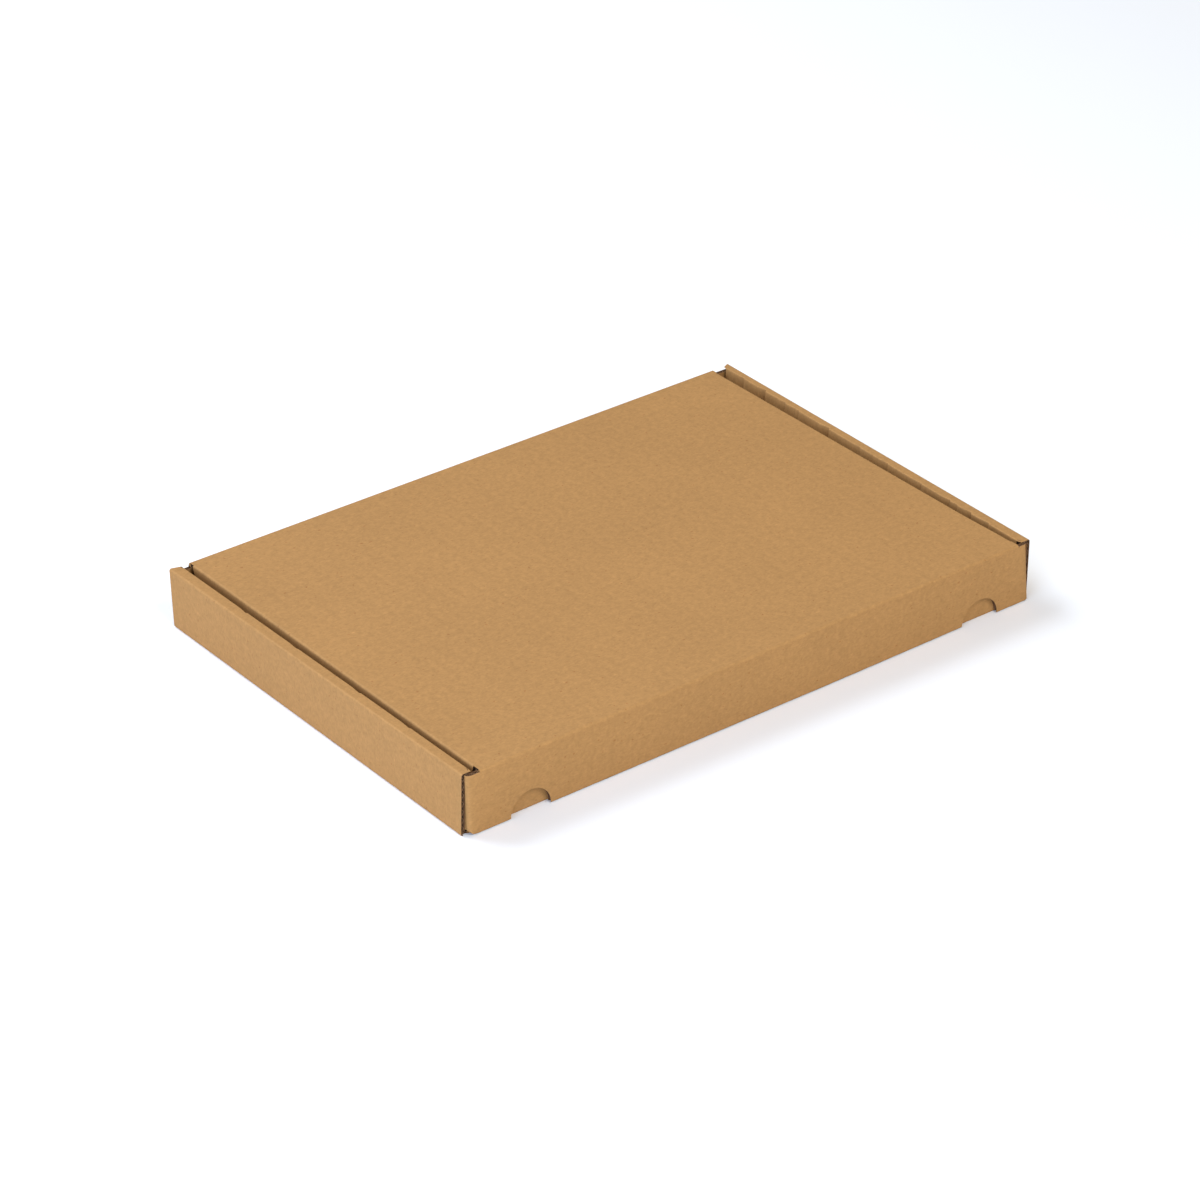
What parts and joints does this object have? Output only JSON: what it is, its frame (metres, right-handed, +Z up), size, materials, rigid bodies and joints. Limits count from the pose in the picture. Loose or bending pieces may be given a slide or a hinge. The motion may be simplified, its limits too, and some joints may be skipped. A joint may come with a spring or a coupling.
{
  "type": "mailer box",
  "caption": "Flat folded mailer box of thin corrugated board with rolled side walls, a hinged lid with dust flaps and a front flap with two thumb notches.",
  "frame": {"origin": "middle of the underside, on the surface that the box stands on", "axes": "+Z up, -Y towards the front flap, +X to the right when the box is seen from the front"},
  "size_m": [0.25, 0.1644, 0.0237],
  "materials": {
    "board": "matt brown kraft liner with a faint mottle, on thin corrugated board"
  },
  "bodies": {
    "tray": {"tray": "board"},
    "lid": {"lid": "board"},
    "front_flap": {"front_flap": "board"}
  },
  "joints": [
    {"name": "lid_hinge", "type": "hinge", "parent": "tray", "child": "lid", "pos_m": [0, 0.0815, 0.02295], "axis": [-1, 0, 0], "range_deg": [0, 135]},
    {"name": "front_flap_hinge", "type": "hinge", "parent": "lid", "child": "front_flap", "pos_m": [0, -0.0815, 0.02295], "axis": [-1, 0, 0], "range_deg": [0, 120]}
  ]
}
